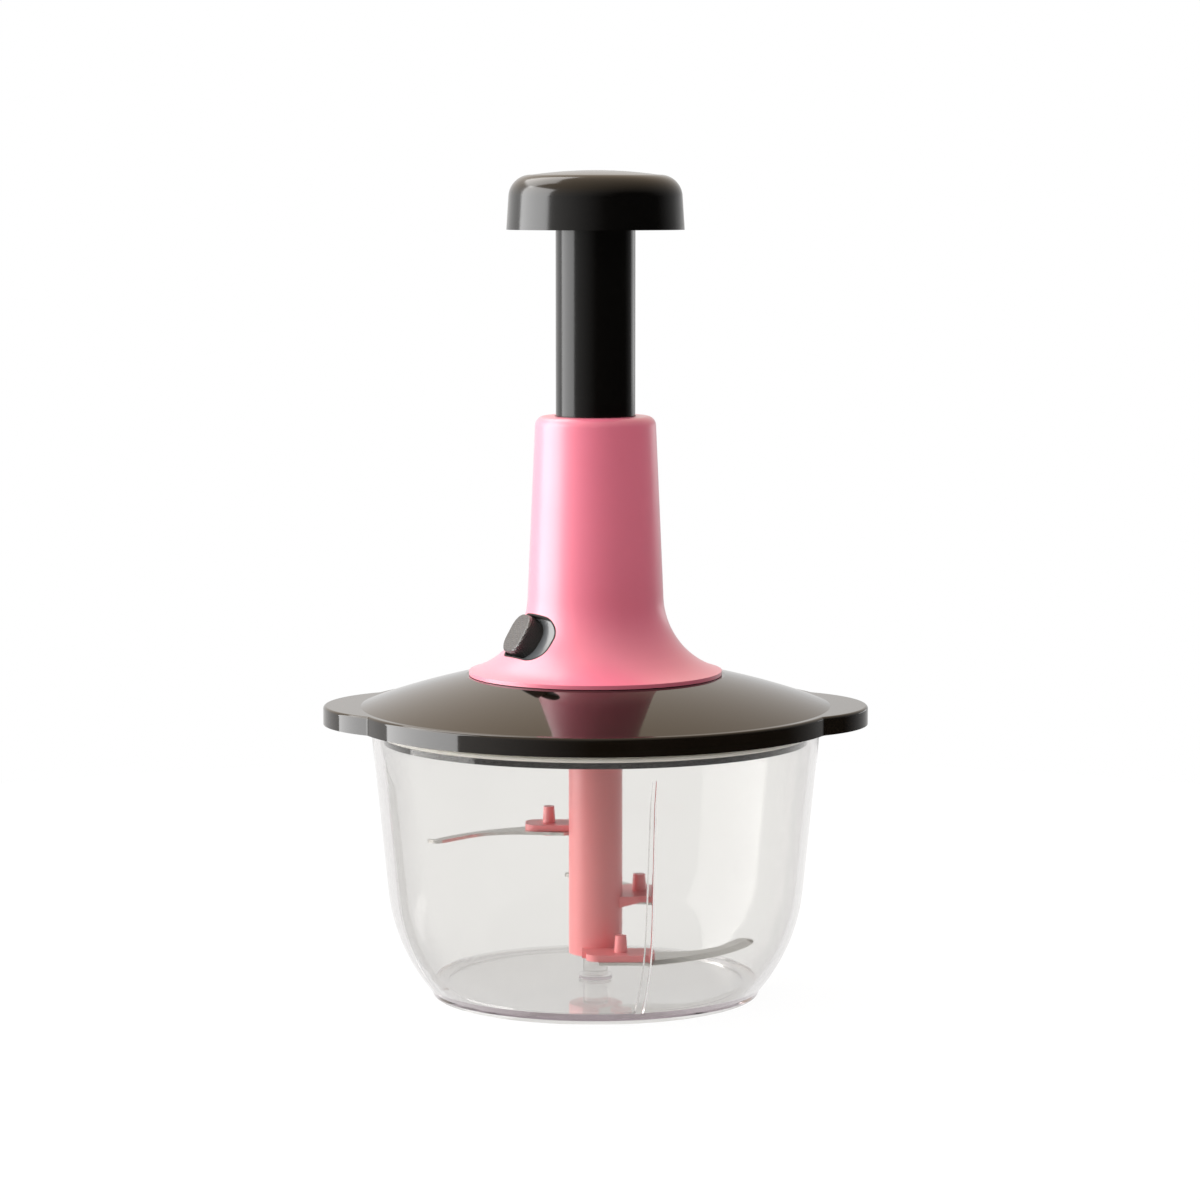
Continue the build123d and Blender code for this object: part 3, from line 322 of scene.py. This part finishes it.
def painted_slot_shadow(material, radius, height, bearing, rise, half, corner, shadow_width, colour):
    """Paints a narrow dark line of shade along the edge of the lock's slot, in the slot's own
    plane.
    """
    tree, shader = material.node_tree, shader_of(material)
    round_x, round_y = math.cos(bearing), math.sin(bearing)
    outward = Vector((round_x * math.cos(rise), round_y * math.cos(rise), math.sin(rise)))
    along = Vector((-round_y, round_x, 0.0))
    slot_turn = Matrix((along, outward.cross(along), outward)).transposed()
    local = add(tree, "ShaderNodeMapping", {
        "Vector": add(tree, "ShaderNodeTexCoord").outputs["Object"],
        "Location": (radius * round_x, radius * round_y, height),
        "Rotation": slot_turn.to_euler("XYZ"),
    }, vector_type="TEXTURE")
    flat = add(tree, "ShaderNodeVectorMath", {0: local.outputs["Vector"]}, operation="ABSOLUTE")

    # Distance from the rounded rectangle of the slot, within this depth of its plane.
    depth = 0.008
    reach = add(tree, "ShaderNodeVectorMath", {
        0: flat.outputs["Vector"], 1: (half[0] - corner, half[1] - corner, depth),
    }, operation="SUBTRACT")
    beyond = add(tree, "ShaderNodeVectorMath", {
        0: reach.outputs["Vector"], 1: (0.0, 0.0, 0.0),
    }, operation="MAXIMUM")
    length = add(tree, "ShaderNodeVectorMath", {0: beyond.outputs["Vector"]}, operation="LENGTH")
    slot_shadow_mask = add(tree, "ShaderNodeMapRange", {
        "Value": length.outputs["Value"], "From Min": corner + 0.8 * shadow_width,
        "From Max": corner + 1.2 * shadow_width, "To Min": 1.0, "To Max": 0.0,
    }).outputs["Result"]

    # On the painted shadow line the colour is dark, the coat is gone and the surface is dull.
    slot_shadowed = add(tree, "ShaderNodeMix", {
        "Factor": slot_shadow_mask, "A": shader.inputs["Base Color"].links[0].from_socket,
        "B": (*colour, 1.0),
    }, data_type="RGBA")
    coat = add(tree, "ShaderNodeMath", {0: 1.0, 1: slot_shadow_mask}, operation="SUBTRACT")
    dull = add(tree, "ShaderNodeMath", {
        0: shader.inputs["Roughness"].links[0].from_socket, 1: slot_shadow_mask,
    }, operation="MAXIMUM")
    feed(shader, {
        "Base Color": slot_shadowed.outputs["Result"], "Coat Weight": coat.outputs[0],
        "Roughness": dull.outputs[0],
    })


# Painted shadow: a narrow dark line of shade along the edge of the lock's slot, in the neck's
# pink.
painted_slot_shadow(
    neck_pink, radius=0.024776, height=0.1146, bearing=math.radians(210.5),
    rise=math.radians(30.0), half=(0.011, 0.0072), corner=0.0054, shadow_width=0.00055,
    colour=(0.012, 0.009, 0.009),
)


# Lock: dark grey moulded ring inside the neck; its shield fills the slot, and the button that
# rides on it stands out of the slot with fine crossed ridges on its face for the thumb.

def ridged_grey():
    """Dark grey plastic with fine ridges that cross on the slanting face of the button."""
    material = moulded(
        "ridged button plastic", (0.034, 0.031, 0.031), (0.044, 0.041, 0.041), gloss=0.34,
        haze=0.10, relief=0.6, specular=1.0,
    )
    tree = material.node_tree
    place = add(tree, "ShaderNodeTexCoord").outputs["Object"]
    cross, lean = 0.9, -math.radians(23.0)
    ridges = [
        add(tree, "ShaderNodeTexWave", {
            "Vector": add(tree, "ShaderNodeMapping", {
                "Vector": place, "Rotation": (0.0, turn, lean),
            }).outputs["Vector"],
            "Scale": 480.0, "Distortion": 0.0,
        }).outputs["Fac"]
        for turn in (cross, -cross)
    ]
    crossed = add(tree, "ShaderNodeMath", {0: ridges[0], 1: ridges[1]}, operation="MULTIPLY")
    bump = shader_of(material).inputs["Normal"].links[0].from_node
    feed(bump, {"Height": crossed.outputs[0], "Distance": 0.00025})
    return material


dress(ridged_grey(), "lock_slider")
dress(moulded(
    "lock ring plastic", (0.120, 0.130, 0.138), (0.145, 0.155, 0.163), gloss=0.22, haze=0.08,
    relief=0.08, specular=1.0,
), "lock_ring")

# Press: a black tube, drawn smooth and glossy, that slides through the neck with the nut in its
# foot and the return spring round it.
dress(moulded(
    "glossy tube plastic", (0.0030, 0.0026, 0.0022), (0.0042, 0.0037, 0.0032), gloss=0.15,
    haze=0.05, relief=0.03, specular=0.40,
), "plunger_tube")

# Knob: black moulding for the palm, pushed over the tube and held by a screw from inside. Palms
# have left it a faint haze.
dress(moulded(
    "satin knob plastic", (0.0024, 0.0021, 0.0018), (0.0036, 0.0033, 0.0029), gloss=0.13,
    haze=0.07, relief=0.05, specular=0.65,
), "knob")


# Studio floor: pale, soft and plain, just under the foot of the bowl. To the camera, and in what
# mirrors or lets through, it is near white; a part of it is left to take the soft shadow.

def pale_floor():
    """Pale floor that stays near white and still takes the soft shadow of the chopper."""
    material, shader = new_finish("pale floor")
    tree = material.node_tree
    feed(shader, {"Base Color": (0.74, 0.725, 0.70, 1.0), "Roughness": 0.6})
    glow = add(tree, "ShaderNodeEmission", {"Color": (1.0, 1.0, 1.0, 1.0), "Strength": 1.05})
    rays = add(tree, "ShaderNodeLightPath").outputs
    seen = add(tree, "ShaderNodeMath", {
        0: rays["Is Camera Ray"], 1: rays["Is Glossy Ray"],
    }, operation="ADD", use_clamp=True)
    through_share, glow_share = 0.88, 0.90
    through = add(tree, "ShaderNodeMath", {
        0: rays["Is Transmission Ray"], 1: through_share,
    }, operation="MULTIPLY")
    either = add(tree, "ShaderNodeMath", {
        0: seen.outputs[0], 1: through.outputs[0],
    }, operation="MAXIMUM")
    share = add(tree, "ShaderNodeMath", {
        0: either.outputs[0], 1: glow_share,
    }, operation="MULTIPLY")
    mix = add(tree, "ShaderNodeMixShader", {
        "Fac": share.outputs[0], 1: shader.outputs["BSDF"], 2: glow.outputs["Emission"],
    })
    feed(tree.nodes["Material Output"], {"Surface": mix.outputs["Shader"]})
    return material


ground = bmesh.new()
bmesh.ops.create_circle(
    ground, cap_ends=True, segments=96, radius=0.5, matrix=Matrix.Translation((0.0, 0.0, -0.0003))
)
floor_mesh = bpy.data.meshes.new("floor")
ground.to_mesh(floor_mesh)
ground.free()
floor_mesh.materials.append(pale_floor())
floor = bpy.data.objects.new("floor", floor_mesh)
bpy.context.scene.collection.objects.link(floor)


# Lamps: a large softbox on the left, a low one on the right behind, and a smaller one high on
# the left. Bearings are counted from +X, with the camera at 270 degrees.

def softbox(name, bearing, height, distance, width, tall, radiance):
    """Soft rectangular lamp at a bearing, turned to the middle of the chopper."""
    lamp = bpy.data.lights.new(name, "AREA")
    lamp.shape = "RECTANGLE"
    lamp.size = width
    lamp.size_y = tall
    lamp.energy = radiance * math.pi * width * tall
    turn = math.radians(bearing)
    place = Vector((distance * math.cos(turn), distance * math.sin(turn), height))
    middle = Vector((0.0, 0.0, 0.14))
    facing = (middle - place).to_track_quat("-Z", "Y").to_matrix().to_4x4()
    holder = bpy.data.objects.new(name, lamp)
    holder.matrix_world = Matrix.Translation(place) @ facing
    bpy.context.scene.collection.objects.link(holder)


softbox(
    "softbox left", bearing=181.0, height=0.34, distance=1.0, width=0.95, tall=1.12, radiance=4.6
)
softbox(
    "softbox right behind", bearing=50.0, height=0.17, distance=2.0, width=0.90, tall=0.20,
    radiance=1.3,
)
softbox(
    "softbox above left", bearing=140.0, height=1.04, distance=0.72, width=0.80, tall=0.64,
    radiance=3.0,
)

# Surroundings: plain white for the camera and for what shows through the bowl, a soft fill from
# above for diffuse rays, and for mirrored rays a room, pale behind and above, dark in front.
world = bpy.data.worlds.new("studio")
bpy.context.scene.world = world
world.use_nodes = True
sky = world.node_tree
sky.nodes.clear()
rays = add(sky, "ShaderNodeLightPath").outputs
toward = add(sky, "ShaderNodeTexCoord").outputs["Generated"]


def slope(direction, low, high, least, most):
    """Strength that rises along one direction of the surroundings."""
    level = add(sky, "ShaderNodeVectorMath", {0: toward, 1: direction}, operation="DOT_PRODUCT")
    strength = add(sky, "ShaderNodeMapRange", {
        "Value": level.outputs["Value"], "From Min": low, "From Max": high,
        "To Min": least, "To Max": most,
    })
    return strength.outputs["Result"]


fill = add(sky, "ShaderNodeBackground", {
    "Color": (1.0, 1.0, 1.0, 1.0),
    "Strength": slope((-0.35, 0.35, 0.87), low=-0.50, high=0.90, least=0.08, most=1.36),
})
warmth = add(sky, "ShaderNodeMapRange", {
    "Value": add(sky, "ShaderNodeSeparateXYZ", {0: toward}).outputs["Z"],
    "From Min": 0.05, "From Max": 0.75,
})
tint = add(sky, "ShaderNodeMix", {
    "Factor": warmth.outputs["Result"], "A": (1.0, 0.99, 0.98, 1.0), "B": (1.0, 0.80, 0.60, 1.0),
}, data_type="RGBA")
room = add(sky, "ShaderNodeBackground", {
    "Color": tint.outputs["Result"],
    "Strength": slope((-0.50, 0.42, 0.45), low=-0.46, high=0.74, least=0.02, most=1.20),
})
white = add(sky, "ShaderNodeBackground", {"Color": (1.0, 1.0, 1.0, 1.0), "Strength": 1.0})
around = add(sky, "ShaderNodeMixShader", {
    "Fac": rays["Is Diffuse Ray"], 1: room.outputs["Background"], 2: fill.outputs["Background"],
})
seen = add(sky, "ShaderNodeMath", {
    0: rays["Is Camera Ray"], 1: rays["Is Transmission Ray"],
}, operation="ADD", use_clamp=True)
backdrop = add(sky, "ShaderNodeMixShader", {
    "Fac": seen.outputs[0], 1: around.outputs["Shader"], 2: white.outputs["Background"],
})
add(sky, "ShaderNodeOutputWorld", {"Surface": backdrop.outputs["Shader"]})

# Camera: a long lens 1.2 m in front of the chopper, level with its knob, that looks slightly
# down on it.
camera_data = bpy.data.cameras.new("camera")
camera_data.sensor_width = 36.0
camera_data.lens = 114.65
camera = bpy.data.objects.new("camera", camera_data)
camera.location = (0.0014, -1.2, 0.25264)
look_down = 6.067
camera.rotation_euler = (math.radians(90.0 - look_down), 0.0, 0.0)
bpy.context.scene.collection.objects.link(camera)
bpy.context.scene.camera = camera
bpy.context.scene.view_settings.view_transform = "Standard"
